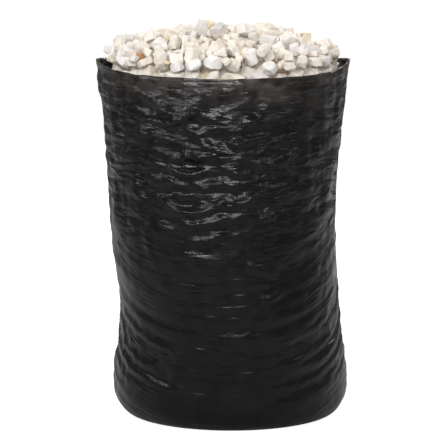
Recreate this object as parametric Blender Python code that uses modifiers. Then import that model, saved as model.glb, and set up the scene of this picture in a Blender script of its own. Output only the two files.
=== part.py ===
"""Packing peanut bag: an open black film sack, heaped with loose foam chunks.

The sack stands on its own flat bottom and is held open by what fills it.  The origin is
the middle of the bottom, +Z is up, -Y is the front and +X the right-hand side.
Lengths are in metres.
"""
import math
import random

import bmesh
import bpy
from mathutils import Matrix, Vector, noise
from mathutils.bvhtree import BVHTree

# The film sack: a lay-flat tube, welded across its bottom and open at the top
SACK_ROUND = 1.464
FILM_WALL = 0.0005
FLOOR_HALF_WIDTH = 0.206
BULGE_HALF_WIDTH = 0.2445
BULGE_HEIGHT = 0.066
WAIST_HALF_WIDTH = 0.226
WAIST_HEIGHT = 0.240
MOUTH_HALF_WIDTH = 0.258
FLARE_POWER = 1.6
RIM_HEIGHT = 0.738
RIM_WAVE = 0.004
CORNER_RISE = 0.012
CORNER_POWER = 12
LEAN = 0.018
LEAN_START = 0.140
LEAN_END = 0.460

# Swells, crumples and folds of the film
FOLD_FADE_HEIGHT = 0.045
SWELL_RISE = 0.0034
SWELL_LENGTH = 0.16
CRUMPLE_RISE = 0.0064
CRUMPLE_LENGTH = 0.060
CRUMPLE_CALM = 0.45
CRUMPLE_START = 0.45
CRUMPLE_GROWTH = 0.15
EAR_RISE = 0.004
EAR_HALF_WIDTH = 0.026
EAR_LENGTH = 0.080
FOLD_END = 0.15
FOLD_TAPER = 5.0
DRAG_FOLDS = 8
DRAG_RISE = 0.0084
DRAG_HALF_WIDTH = 0.017
DRAG_SAG = 0.018
DRAG_TOP = 0.400
DRAG_BOTTOM = 0.090
DRAG_FALL = 0.090
DRAG_REACH = 0.270
DRAG_OFFSET = 0.015
BACK_FOLDS = 9
BACK_FOLD_RISE = 0.0070
BACK_FOLD_HALF_WIDTH = 0.019
BACK_LOWEST = 0.400
BACK_STEP = 0.033
BACK_SPREAD = 0.170

# The loose fill and its heap
SEAT_GAP = 0.0003
SEAT_MARGIN = 2.2
FILL_CLEARANCE = 0.010
FILL_EDGE_DROP = 0.030
HEAP_RISE = 0.075
HEAP_POWER = 2.2
TOP_LAYER = 0.034
BURIED_CHUNKS = 104
BURIED_SIZE = 0.031
LOOSE_SIZE = 0.027
PLACE_MARGIN = 0.020
PLACE_TRIES = 24
SEARCH_RADIUS = 0.032
SEARCH_TRIES = 28
DRIFT_COST = 0.35
MOUTH_CLEARANCE = 0.004
INWARD_STEP = 0.01
DROP_HEIGHT = 0.090
DROP_STEP = 0.003
DROP_ACCURACY = 0.00005

# Fineness of the meshes
FILM_COLUMNS = 168
FILM_ROWS = 84
BULGE_ROWS = 0.09
FILM_KEEP = 0.090
FILL_COLUMNS = 30
FILL_RINGS = 7
FOOT_SHARES = (0.35, 1.0)
CROWN_SHARES = (0.80, 0.55, 0.28, 0.06)
MERGE = 0.00005

SEED = 41
MM = 0.001

FOAM_TINTS = {
    "white": (0.87, 0.86, 0.84),
    "cream": (0.84, 0.79, 0.70),
    "grey": (0.62, 0.60, 0.57),
    "yellow": (0.80, 0.68, 0.34),
    "orange": (0.66, 0.36, 0.16),
    "olive": (0.46, 0.42, 0.20),
}
FILM_BLACK = (0.012, 0.012, 0.013)

# Depths of the slices that turn a foam cube into each kind of chunk
SLICES = {
    "block": (0.10, 0.16, 0.13, 0.08),
    "wedge": (0.52, 0.18, 0.10),
    "stick": (0.12, 0.10, 0.06),
    "crumb": (0.30, 0.26, 0.34, 0.22, 0.18),
}

# Chunks that stand out on the heap: place in per cent of the mouth's half width and half
# depth, then width, depth and height in millimetres
NOTED_CHUNKS = (
    (-80, 0, 40, 44, 37, "lump", "white"),
    (-69, -32, 33, 31, 29, "block", "white"),
    (-8, -88, 34, 30, 29, "block", "white"),
    (-51, -66, 32, 25, 19, "wedge", "cream"),
    (45, -86, 34, 30, 28, "lump", "white"),
    (23, -76, 25, 25, 31, "block", "white"),
    (68, -68, 25, 23, 28, "block", "cream"),
    (82, -37, 32, 27, 23, "block", "white"),
    (56, -76, 28, 23, 26, "wedge", "cream"),
    (-24, -83, 28, 23, 19, "wedge", "white"),
    (-34, -77, 21, 21, 21, "block", "white"),
    (8, -90, 28, 25, 26, "crumb", "cream"),
    (30, -90, 26, 19, 19, "crumb", "cream"),
    (78, -56, 23, 21, 18, "crumb", "cream"),
    (85, -11, 25, 25, 21, "block", "white"),
    (-76, -50, 23, 23, 18, "crumb", "cream"),
    (-42, -55, 32, 25, 25, "wedge", "white"),
    (-5, -63, 32, 28, 30, "block", "cream"),
    (31, -30, 38, 30, 28, "block", "grey"),
    (15, -60, 32, 23, 18, "wedge", "yellow"),
    (33, -64, 25, 23, 21, "block", "cream"),
    (62, -54, 23, 25, 28, "lump", "white"),
    (50, -60, 30, 21, 21, "crumb", "cream"),
    (70, 0, 23, 25, 26, "lump", "cream"),
    (-57, -11, 30, 26, 25, "block", "white"),
    (-34, 0, 32, 26, 23, "crumb", "cream"),
    (19, 13, 34, 30, 21, "block", "white"),
    (51, 9, 21, 23, 21, "crumb", "yellow"),
    (-47, -34, 16, 17, 28, "stick", "cream"),
    (-30, -45, 13, 16, 34, "stick", "white"),
    (-38, -41, 13, 15, 26, "stick", "cream"),
    (-66, -55, 14, 15, 14, "block", "orange"),
    (-26, -61, 14, 14, 14, "block", "olive"),
    (-28, -73, 12, 13, 12, "block", "olive"),
)
LATE_CHUNKS = 3

# Tints of the other chunks on top, in the order of their numbers
LOOSE_TINTS = (
    "white", "cream", "white", "grey", "cream", "grey", "grey", "cream",
    "cream", "cream", "grey", "cream", "grey", "white", "white", "cream",
    "cream", "cream", "white", "grey", "grey", "cream", "white", "white",
)


def clear_scene():
    for thing in list(bpy.data.objects):
        bpy.data.objects.remove(thing, do_unlink=True)


def new_collection(name):
    collection = bpy.data.collections.new(name)
    bpy.context.scene.collection.children.link(collection)
    return collection


def principled(name, colour, roughness):
    material = bpy.data.materials.new(name)
    material.use_nodes = True
    shader = material.node_tree.nodes["Principled BSDF"]
    shader.inputs["Base Color"].default_value = (*colour, 1.0)
    shader.inputs["Roughness"].default_value = roughness
    shader.inputs["Metallic"].default_value = 0.0
    return material


def object_from(bm, name, collection, material=None):
    mesh = bpy.data.meshes.new(name)
    bm.to_mesh(mesh)
    bm.free()
    thing = bpy.data.objects.new(name, mesh)
    collection.objects.link(thing)
    if material:
        mesh.materials.append(material)
    return thing


def evaluated_bmesh(thing):
    """The object's mesh with its modifiers worked out."""
    bpy.context.view_layer.update()
    evaluated = thing.evaluated_get(bpy.context.evaluated_depsgraph_get())
    bm = bmesh.new()
    bm.from_mesh(evaluated.to_mesh())
    evaluated.to_mesh_clear()
    return bm


def ease(value):
    """Smooth step from 0 to 1."""
    value = min(max(value, 0.0), 1.0)
    return value * value * (3.0 - 2.0 * value)


# Outline of the filled sack

def half_width(height):
    """Half the sack's width, side to side, at a height above the bulge of its base."""
    if height < WAIST_HEIGHT:
        share = ease((height - BULGE_HEIGHT) / (WAIST_HEIGHT - BULGE_HEIGHT))
        return BULGE_HALF_WIDTH + (WAIST_HALF_WIDTH - BULGE_HALF_WIDTH) * share
    share = (height - WAIST_HEIGHT) / (RIM_HEIGHT - WAIST_HEIGHT)
    return WAIST_HALF_WIDTH + (MOUTH_HALF_WIDTH - WAIST_HALF_WIDTH) * share ** FLARE_POWER


def half_depth(height):
    """Half the depth, front to back: the film's length round stays the same."""
    return SACK_ROUND / math.pi - half_width(height)


def lean_at(height):
    return -LEAN * ease((height - LEAN_START) / (LEAN_END - LEAN_START))


def sack_point(turn, height, inset=0.0):
    """Point on the smooth outline; turn 0 is the front middle and 0.25 the right side."""
    angle = 2.0 * math.pi * turn
    wide = half_width(max(height, BULGE_HEIGHT)) - inset
    deep = half_depth(max(height, BULGE_HEIGHT)) - inset
    if height < BULGE_HEIGHT:
        rise = math.sqrt(max(0.0, 1.0 - (1.0 - height / BULGE_HEIGHT) ** 2))
        narrow = FLOOR_HALF_WIDTH / BULGE_HALF_WIDTH
        wide *= narrow + (1.0 - narrow) * rise
        deep *= narrow + (1.0 - narrow) * rise
    return Vector((lean_at(height) + wide * math.sin(angle), -deep * math.cos(angle), height))


def rim_height(turn):
    """The rim is nearly level, and its two lay-flat corners stand up."""
    side = math.sin(2.0 * math.pi * turn)
    wave = noise.noise(Vector((side, math.cos(2.0 * math.pi * turn), SEED)))
    return RIM_HEIGHT + CORNER_RISE * side ** CORNER_POWER + RIM_WAVE * wave


# Folds pressed and dragged into the film: start, end, sag, rise and half width, laid out on
# the film itself, with the front middle at 0 across and the bottom at 0 up

def hanging_folds():
    """The folds that hang across the front, where the fill has slipped down behind."""
    return [
        ((-0.132, 0.492), (0.022, 0.510), 0.030, 0.0088, 0.020),
        ((-0.096, 0.452), (0.010, 0.462), 0.012, 0.0074, 0.017),
        ((0.010, 0.498), (0.064, 0.506), 0.010, 0.0070, 0.017),
        ((-0.070, 0.412), (-0.012, 0.420), 0.006, 0.0060, 0.016),
        ((0.072, 0.456), (0.108, 0.462), 0.004, 0.0060, 0.015),
        ((0.098, 0.556), (0.160, 0.590), 0.004, 0.0084, 0.019),
        ((0.046, 0.660), (0.078, 0.640), 0.002, 0.0074, 0.018),
        ((-0.078, 0.560), (-0.078, 0.700), 0.000, 0.0060, 0.016),
        ((-0.150, 0.690), (-0.020, 0.600), -0.010, 0.0076, 0.020),
        ((-0.120, 0.640), (-0.040, 0.680), 0.004, 0.0072, 0.017),
        ((0.000, 0.560), (0.062, 0.548), 0.006, 0.0070, 0.017),
        ((0.040, 0.370), (0.118, 0.340), 0.006, 0.0064, 0.018),
        ((0.070, 0.290), (0.118, 0.300), 0.004, 0.0056, 0.016),
    ]


def drag_folds(chance):
    """Slanting folds that run from both side edges down towards the middles."""
    folds = []
    edge = SACK_ROUND / 4.0
    for side in (-1.0, 1.0):
        for face in (1.0, -1.0):
            for number in range(DRAG_FOLDS):
                share = (number + chance.uniform(0.2, 0.8)) / DRAG_FOLDS
                start_up = DRAG_BOTTOM + (DRAG_TOP - DRAG_BOTTOM) * share
                reach = DRAG_REACH * chance.uniform(0.6, 1.0)
                fall = DRAG_FALL * chance.uniform(0.5, 1.1)
                start = (side * (edge + face * DRAG_OFFSET), start_up)
                end = (side * (edge - face * reach), start_up - fall)
                rise = DRAG_RISE * chance.uniform(0.6, 1.1)
                folds.append((start, end, DRAG_SAG, rise, DRAG_HALF_WIDTH))
    return folds


def back_folds(chance):
    """Loose hanging folds across the back, like those of the front."""
    folds = []
    for number in range(BACK_FOLDS):
        across = SACK_ROUND / 2.0 + chance.uniform(-BACK_SPREAD, BACK_SPREAD)
        up = BACK_LOWEST + BACK_STEP * number
        reach = chance.uniform(0.025, 0.065)
        start = (across - reach, up)
        end = (across + reach, up + chance.uniform(-0.020, 0.020))
        folds.append((start, end, chance.uniform(0.004, 0.020), BACK_FOLD_RISE, BACK_FOLD_HALF_WIDTH))
    return folds


def fold_rise(across, up, fold):
    """How far one fold lifts the film: a tent along a sagging line, tapered at its ends."""
    (start_across, start_up), (end_across, end_up), sag, rise, reach = fold
    run = end_across - start_across
    climb = end_up - start_up
    offset = (across - start_across + SACK_ROUND / 2.0) % SACK_ROUND - SACK_ROUND / 2.0
    share = (offset * run + (up - start_up) * climb) / (run * run + climb * climb)
    share = min(max(share, 0.0), 1.0)
    line_up = start_up + climb * share - sag * 4.0 * share * (1.0 - share)
    away = math.hypot(offset - run * share, up - line_up)
    if away >= reach:
        return 0.0
    taper = min(1.0, FOLD_TAPER * min(share, 1.0 - share) + FOLD_END)
    return rise * taper * (1.0 - away / reach)


def film_rise(turn, height, folds):
    """Total lift of the film off the smooth outline, outwards."""
    across = turn * SACK_ROUND
    spot = sack_point(turn, height)
    lift = SWELL_RISE * noise.noise(spot / SWELL_LENGTH)
    crumple = CRUMPLE_CALM + (1.0 - CRUMPLE_CALM) * ease((height - CRUMPLE_START) / CRUMPLE_GROWTH)
    lift += CRUMPLE_RISE * crumple * (0.5 - 2.0 * abs(noise.noise(spot / CRUMPLE_LENGTH)))
    lift += sum(fold_rise(across, height, fold) for fold in folds)
    for side in (-0.25, 0.25):
        from_ear = abs(across - side * SACK_ROUND)
        if from_ear < EAR_HALF_WIDTH:
            grown = ease((height - RIM_HEIGHT + EAR_LENGTH) / EAR_LENGTH)
            lift += EAR_RISE * grown * (1.0 - from_ear / EAR_HALF_WIDTH)
    return lift * ease(height / FOLD_FADE_HEIGHT)


def wall_height(path, rim):
    """Height at a share of the way up the film, with closer rows round the foot."""
    if path < BULGE_ROWS:
        return BULGE_HEIGHT * (1.0 - math.cos(path / BULGE_ROWS * math.pi / 2.0))
    return BULGE_HEIGHT + (rim - BULGE_HEIGHT) * (path - BULGE_ROWS) / (1.0 - BULGE_ROWS)


def film_sack(collection, scratch):
    """A fine sheet rolled to a tube, folded, thinned to the faces that its folds need."""
    folds = hanging_folds()
    chance = random.Random(SEED)
    folds += drag_folds(chance)
    folds += back_folds(chance)
    bm = bmesh.new()
    bmesh.ops.create_grid(bm, x_segments=FILM_COLUMNS, y_segments=FILM_ROWS, size=0.5)
    for vert in bm.verts:
        turn = vert.co.x
        height = wall_height(vert.co.y + 0.5, rim_height(turn))
        spot = sack_point(turn, height)
        outward = (spot - Vector((lean_at(height), 0.0, height))).normalized()
        vert.co = spot + outward * film_rise(turn, height, folds)
    bmesh.ops.remove_doubles(bm, verts=bm.verts, dist=MERGE)
    fine = object_from(bm, "fine_film", scratch)
    thin = fine.modifiers.new("thin_out", "DECIMATE")
    thin.decimate_type = "COLLAPSE"
    thin.ratio = FILM_KEEP
    bm = evaluated_bmesh(fine)
    bpy.data.objects.remove(fine, do_unlink=True)
    foot = [edge for edge in bm.edges if edge.is_boundary and edge.verts[0].co.z < BULGE_HEIGHT]
    for edge in foot:
        for vert in edge.verts:
            vert.co.z = 0.0
    bmesh.ops.holes_fill(bm, edges=foot, sides=len(foot))
    bmesh.ops.recalc_face_normals(bm, faces=bm.faces)
    bmesh.ops.triangulate(bm, faces=bm.faces)
    sack = object_from(bm, "film_sack", collection, principled("black_film", FILM_BLACK, 0.3))
    wall = sack.modifiers.new("wall", "SOLIDIFY")
    wall.thickness = FILM_WALL
    wall.offset = -1.0
    return sack


# Foam chunks

def slice_off(bm, depth, chance):
    """Cuts one corner or edge off a unit cube, to the given depth."""
    normal = Vector([chance.choice((-1, 1)) * chance.uniform(0.15, 1.0) for _ in range(3)])
    normal.normalize()
    reach = 0.5 * sum(abs(part) for part in normal)
    spot = normal * (reach - depth)
    geometry = bm.verts[:] + bm.edges[:] + bm.faces[:]
    cut = bmesh.ops.bisect_plane(
        bm, geom=geometry, dist=1e-5, plane_co=spot, plane_no=normal, clear_outer=True)
    edges = [part for part in cut["geom_cut"] if isinstance(part, bmesh.types.BMEdge)]
    if edges:
        bmesh.ops.edgeloop_fill(bm, edges=edges)


def foam_chunk(size, shape, chance, tilt=28.0, spin=180.0):
    """One torn or cut piece of foam round its own middle, turned to lie as it fell."""
    bm = bmesh.new()
    if shape == "lump":
        bmesh.ops.create_icosphere(bm, subdivisions=2, radius=0.56)
        shift = Vector((chance.uniform(0.0, 50.0), 0.0, 0.0))
        for vert in bm.verts:
            vert.co *= 1.0 + 0.10 * noise.noise(vert.co * 2.0 + shift)
    else:
        bmesh.ops.create_cube(bm, size=1.0)
        for depth in SLICES[shape]:
            slice_off(bm, depth * chance.uniform(0.75, 1.25), chance)
    bmesh.ops.scale(bm, vec=size, verts=bm.verts)
    turned = Matrix.Rotation(math.radians(chance.uniform(-spin, spin)), 3, "Z")
    for axis in "XY":
        turned = Matrix.Rotation(math.radians(chance.uniform(-tilt, tilt)), 3, axis) @ turned
    bmesh.ops.rotate(bm, cent=(0, 0, 0), matrix=turned, verts=bm.verts)
    bmesh.ops.remove_doubles(bm, verts=bm.verts, dist=SEAT_GAP)
    bmesh.ops.recalc_face_normals(bm, faces=bm.faces)
    return bm


def reach_of(bm):
    return max(vert.co.length for vert in bm.verts)


# The heap

def mouth_share(x, y, margin=0.0):
    """How far out a place in plan lies: 0 in the middle of the mouth and 1 at its wall."""
    wide = half_width(RIM_HEIGHT) - margin
    deep = half_depth(RIM_HEIGHT) - margin
    return math.hypot((x - lean_at(RIM_HEIGHT)) / wide, y / deep)


def heap_height(x, y):
    """Height of the heap's top over a place in plan."""
    return RIM_HEIGHT + HEAP_RISE * (1.0 - min(mouth_share(x, y), 1.0) ** HEAP_POWER)


def step_inward(x, y):
    return x + (lean_at(RIM_HEIGHT) - x) * INWARD_STEP, y - y * INWARD_STEP


def moved_inside(x, y, margin):
    """The place itself, or the nearest one towards the middle that lies inside the mouth."""
    while mouth_share(x, y, margin) > 1.0:
        x, y = step_inward(x, y)
    return x, y


def spread_places(count, taken, chance):
    """Places in plan, each as far from the others as a few tries can find."""
    places = []
    while len(places) < count:
        best = None
        best_away = -1.0
        for _ in range(PLACE_TRIES):
            x = lean_at(RIM_HEIGHT) + chance.uniform(-1, 1) * half_width(RIM_HEIGHT)
            y = chance.uniform(-1, 1) * half_depth(RIM_HEIGHT)
            if mouth_share(x, y, PLACE_MARGIN) > 1.0:
                continue
            away = min((math.hypot(x - px, y - py) for px, py in taken + places), default=1.0)
            if away > best_away:
                best = (x, y)
                best_away = away
        if best:
            places.append(best)
    return places


def buried_chunks(cutters):
    """The chunks just under the top layer, as helpers for the fill's union."""
    buried = bpy.data.collections.new("buried_chunks")
    cutters.children.link(buried)
    chance = random.Random(SEED + 1)
    for number, (x, y) in enumerate(spread_places(BURIED_CHUNKS, [], chance)):
        size = [BURIED_SIZE * chance.uniform(0.8, 1.2) for _ in range(3)]
        chunk = foam_chunk(size, chance.choice(("block", "wedge", "crumb", "block")), chance)
        x, y = moved_inside(x, y, reach_of(chunk) + FILL_CLEARANCE)
        height = heap_height(x, y) - TOP_LAYER + chance.uniform(-0.2, 0.15) * BURIED_SIZE
        bmesh.ops.translate(chunk, vec=(x, y, height), verts=chunk.verts)
        helper = object_from(chunk, f"buried_{number:03d}", buried)
        helper.display_type = "WIRE"
        helper.hide_render = True
    return buried


def loose_fill(collection, cutters, material):
    """The mass of foam below the top layer, one solid, with its upper chunks standing proud."""
    top = RIM_HEIGHT - FILL_EDGE_DROP
    heights = [FILM_WALL + SEAT_GAP]
    heights += [BULGE_HEIGHT * share for share in FOOT_SHARES]
    heights += [BULGE_HEIGHT + (top - BULGE_HEIGHT) * ring / FILL_RINGS for ring in range(1, FILL_RINGS + 1)]
    rows = len(heights) + len(CROWN_SHARES) - 1
    bm = bmesh.new()
    bmesh.ops.create_grid(bm, x_segments=FILL_COLUMNS, y_segments=rows, size=0.5)
    for vert in bm.verts:
        row = round((vert.co.y + 0.5) * rows)
        if row < len(heights):
            vert.co = sack_point(vert.co.x, heights[row], FILL_CLEARANCE)
        else:
            share = CROWN_SHARES[row - len(heights)]
            edge = sack_point(vert.co.x, top, FILL_CLEARANCE)
            x = lean_at(top) + (edge.x - lean_at(top)) * share
            y = edge.y * share
            vert.co = Vector((x, y, heap_height(x, y) - TOP_LAYER))
    bmesh.ops.remove_doubles(bm, verts=bm.verts, dist=MERGE)
    ends = [edge for edge in bm.edges if edge.is_boundary]
    bmesh.ops.holes_fill(bm, edges=ends, sides=FILL_COLUMNS)
    bmesh.ops.recalc_face_normals(bm, faces=bm.faces)
    fill = object_from(bm, "loose_fill", collection, material)
    union = fill.modifiers.new("buried_chunks", "BOOLEAN")
    union.operation = "UNION"
    union.solver = "EXACT"
    union.operand_type = "COLLECTION"
    union.collection = buried_chunks(cutters)
    bm = evaluated_bmesh(fill)
    keep_largest_shell(bm)
    fill.modifiers.remove(union)
    bm.to_mesh(fill.data)
    bm.free()
    return fill


def keep_largest_shell(bm):
    """Drops the closed pockets that lie between buried chunks."""
    seen = set()
    shells = []
    for start in bm.verts:
        if start in seen:
            continue
        shell = [start]
        seen.add(start)
        for vert in shell:
            for edge in vert.link_edges:
                other = edge.other_vert(vert)
                if other not in seen:
                    seen.add(other)
                    shell.append(other)
        shells.append(shell)
    shells.sort(key=len)
    for shell in shells[:-1]:
        bmesh.ops.delete(bm, geom=shell, context="VERTS")


class Pile:
    """What the chunks fall on: the solids placed so far, as one tree of faces."""

    def __init__(self, things):
        self.verts = []
        self.faces = []
        for thing in things:
            bm = evaluated_bmesh(thing)
            self.add(bm)
            bm.free()

    def add(self, bm):
        first = len(self.verts)
        bm.verts.index_update()
        self.verts += [vert.co.copy() for vert in bm.verts]
        self.faces += [[first + vert.index for vert in face.verts] for face in bm.faces]
        self.tree = BVHTree.FromPolygons(self.verts, self.faces)

    def touches(self, verts, faces, spot):
        moved = [vert + spot for vert in verts]
        return bool(self.tree.overlap(BVHTree.FromPolygons(moved, faces)))

    def resting_height(self, verts, faces, x, y):
        """Lowest free height on the way straight down, or None where the way is shut."""
        height = heap_height(x, y) + DROP_HEIGHT
        if self.touches(verts, faces, Vector((x, y, height))):
            return None
        while height > RIM_HEIGHT - 2.0 * DROP_HEIGHT:
            if self.touches(verts, faces, Vector((x, y, height - DROP_STEP))):
                break
            height -= DROP_STEP
        low = height - DROP_STEP
        while height - low > DROP_ACCURACY:
            middle = 0.5 * (height + low)
            if self.touches(verts, faces, Vector((x, y, middle))):
                low = middle
            else:
                height = middle
        return height


def seat_of(pile, bm, x, y, tries, chance):
    """Where a chunk that falls at about x, y comes to rest: the lowest seat near there."""
    bm.verts.index_update()
    faces = [[vert.index for vert in face.verts] for face in bm.faces]
    reach = reach_of(bm)
    grown = [vert.co * (1.0 + SEAT_MARGIN * SEAT_GAP / reach) for vert in bm.verts]
    best = None
    for attempt in range(tries):
        spread = SEARCH_RADIUS * attempt / SEARCH_TRIES
        near_x = x + chance.uniform(-1, 1) * spread
        near_y = y + chance.uniform(-1, 1) * spread
        near_x, near_y = moved_inside(near_x, near_y, reach + MOUTH_CLEARANCE)
        height = pile.resting_height(grown, faces, near_x, near_y)
        while height is None:
            near_x, near_y = step_inward(near_x, near_y)
            height = pile.resting_height(grown, faces, near_x, near_y)
        cost = height + DRIFT_COST * math.hypot(near_x - x, near_y - y)
        if best is None or cost < best[0]:
            best = (cost, Vector((near_x, near_y, height)))
    return best[1]


def top_layer(collection, pile, materials):
    """The loose chunks on top, each its own piece, dropped one after another."""
    chance = random.Random(SEED + 2)
    middle = lean_at(RIM_HEIGHT)
    noted = []
    for number, (x, y, wide, deep, high, shape, tint) in enumerate(NOTED_CHUNKS, start=1):
        place = (middle + x / 100.0 * half_width(RIM_HEIGHT), y / 100.0 * half_depth(RIM_HEIGHT))
        noted.append((number, place, (wide * MM, deep * MM, high * MM), shape, tint))
    loose = []
    places = spread_places(len(LOOSE_TINTS), [place for _, place, *_ in noted], chance)
    for number, (place, tint) in enumerate(zip(places, LOOSE_TINTS), start=len(noted) + 1):
        size = [LOOSE_SIZE * chance.uniform(0.75, 1.25) for _ in range(3)]
        loose.append((number, place, size, chance.choice(("block", "block", "wedge", "crumb", "lump")), tint))
    early = noted[:-LATE_CHUNKS] + loose
    for number, (x, y), size, shape, tint in early + noted[-LATE_CHUNKS:]:
        late = number > len(noted) - LATE_CHUNKS and number <= len(noted)
        steep = (8.0, 25.0) if shape == "stick" else (28.0, 180.0)
        bm = foam_chunk(size, shape, chance, *steep)
        spot = seat_of(pile, bm, x, y, 1 if late else SEARCH_TRIES, chance)
        bmesh.ops.translate(bm, vec=spot, verts=bm.verts)
        pile.add(bm)
        object_from(bm, f"{tint}_chunk_{number:02d}", collection, materials[tint])


clear_scene()
parts = new_collection("packing_peanut_bag")
helpers = new_collection("helpers")
foam = {tint: principled(f"{tint}_foam", colour, 0.75) for tint, colour in FOAM_TINTS.items()}
sack_object = film_sack(parts, helpers)
fill_object = loose_fill(parts, helpers, foam["cream"])
top_layer(parts, Pile([sack_object, fill_object]), foam)
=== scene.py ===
"""Looks of the packing peanut bag: a crumpled black film sack heaped with chopped foam."""
import math
import random

import bmesh
import bpy
import numpy as np
from mathutils import Matrix, Vector, noise
from mathutils.bvhtree import BVHTree


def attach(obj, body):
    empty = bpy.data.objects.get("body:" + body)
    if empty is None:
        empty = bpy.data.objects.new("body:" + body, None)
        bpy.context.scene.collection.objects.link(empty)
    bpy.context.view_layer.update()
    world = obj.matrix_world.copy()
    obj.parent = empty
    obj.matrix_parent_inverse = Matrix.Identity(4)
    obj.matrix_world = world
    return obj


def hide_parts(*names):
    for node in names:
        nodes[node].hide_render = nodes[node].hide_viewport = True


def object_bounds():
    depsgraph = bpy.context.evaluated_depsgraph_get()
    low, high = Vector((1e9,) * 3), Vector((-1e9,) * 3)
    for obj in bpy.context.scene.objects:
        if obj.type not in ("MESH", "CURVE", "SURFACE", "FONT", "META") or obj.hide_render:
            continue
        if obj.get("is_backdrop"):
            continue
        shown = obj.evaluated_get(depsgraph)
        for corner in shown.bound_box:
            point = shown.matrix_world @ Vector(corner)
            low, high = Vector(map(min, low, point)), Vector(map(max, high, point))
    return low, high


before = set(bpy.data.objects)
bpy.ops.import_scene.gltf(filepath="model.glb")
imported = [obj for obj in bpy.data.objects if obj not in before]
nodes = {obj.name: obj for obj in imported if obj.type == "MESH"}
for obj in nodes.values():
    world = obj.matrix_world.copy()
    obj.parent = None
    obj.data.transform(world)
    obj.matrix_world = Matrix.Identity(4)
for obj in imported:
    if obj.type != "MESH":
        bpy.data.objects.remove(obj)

cad_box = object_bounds()
scene = bpy.context.scene

# The sack is one lay-flat tube of thin black polythene, welded across the bottom and open
# at the top.  The fill pushes it out to a rough cylinder; it has slumped over the fill, so it
# buckles in folds above and drags in slanting wrinkles from both side edges below.
SACK_ROUND = 1.464
FILM_WALL = 0.0004
FLOOR_HALF_WIDTH = 0.206
BULGE_HALF_WIDTH = 0.2445
BULGE_HEIGHT = 0.066
WAIST_HALF_WIDTH = 0.226
WAIST_HEIGHT = 0.240
MOUTH_HALF_WIDTH = 0.258
FLARE_POWER = 1.6
RIM_HEIGHT = 0.738
RIM_WAVE = 0.004
RIM_RUFFLE = 0.0022
RUFFLES = 9.0
CORNER_RISE = 0.012
CORNER_POWER = 12
LEAN = 0.018
LEAN_START = 0.140
LEAN_END = 0.460
EAR_RISE = 0.004
EAR_HALF_WIDTH = 0.026
EAR_LENGTH = 0.080
FOLD_FADE_HEIGHT = 0.045
BULGE_ROWS = 0.09
SEED = 41
FILM_COLUMNS = 270
FILM_ROWS = 156
SEAM_GAP = 0.00005


def ease(value):
    """Smooth step from 0 to 1."""
    value = np.clip(value, 0.0, 1.0)
    return value * value * (3.0 - 2.0 * value)


def half_width(height):
    below = ease((height - BULGE_HEIGHT) / (WAIST_HEIGHT - BULGE_HEIGHT))
    above = np.clip((height - WAIST_HEIGHT) / (RIM_HEIGHT - WAIST_HEIGHT), 0.0, 2.0) ** FLARE_POWER
    tapered = BULGE_HALF_WIDTH + (WAIST_HALF_WIDTH - BULGE_HALF_WIDTH) * below
    return tapered + (MOUTH_HALF_WIDTH - WAIST_HALF_WIDTH) * above


def half_depth(height):
    """The film's length round stays the same, so what it gains in width it loses in depth."""
    return SACK_ROUND / math.pi - half_width(height)


def lean_at(height):
    return -LEAN * ease((height - LEAN_START) / (LEAN_END - LEAN_START))


def sack_points(turn, height, inset=0.0):
    """Points on the smooth outline; turn 0 is the front middle and 0.25 the right side."""
    angle = 2.0 * math.pi * turn
    level = np.maximum(height, BULGE_HEIGHT)
    rise = np.sqrt(np.clip(1.0 - (1.0 - np.minimum(height / BULGE_HEIGHT, 1.0)) ** 2, 0.0, 1.0))
    narrow = FLOOR_HALF_WIDTH / BULGE_HALF_WIDTH
    share = narrow + (1.0 - narrow) * rise
    x = lean_at(height) + (half_width(level) - inset) * share * np.sin(angle)
    y = -(half_depth(level) - inset) * share * np.cos(angle)
    return np.stack([x, y, height], axis=-1)


def at_points(points):
    """Noise at each point, from -1 to 1."""
    return np.array([noise.noise(Vector(point)) for point in points])


def lattice(columns, rows):
    """Turns and heights of a sheet rolled to a tube, with closer rows round the foot."""
    turns, paths = np.meshgrid(np.linspace(-0.5, 0.5, columns + 1), np.linspace(0.0, 1.0, rows + 1))
    turns = turns.ravel()
    paths = paths.ravel()
    side = np.sin(2.0 * math.pi * turns)
    ring = np.stack([side, np.cos(2.0 * math.pi * turns), np.full_like(turns, SEED)], -1)
    rim = RIM_HEIGHT + CORNER_RISE * side ** CORNER_POWER + RIM_WAVE * at_points(ring)
    rim += RIM_RUFFLE * at_points(ring * (RUFFLES, RUFFLES, 1.0))
    foot = BULGE_HEIGHT * (1.0 - np.cos(np.minimum(paths / BULGE_ROWS, 1.0) * math.pi / 2.0))
    wall = BULGE_HEIGHT + (rim - BULGE_HEIGHT) * (paths - BULGE_ROWS) / (1.0 - BULGE_ROWS)
    return turns, np.where(paths < BULGE_ROWS, foot, wall), rim


def lifted(spots, heights, lift):
    """The points moved outwards, square to the sack's middle line."""
    outward = spots - np.stack([lean_at(heights), np.zeros_like(heights), heights], -1)
    outward /= np.linalg.norm(outward, axis=1)[:, None]
    return spots + outward * lift[:, None]


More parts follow.
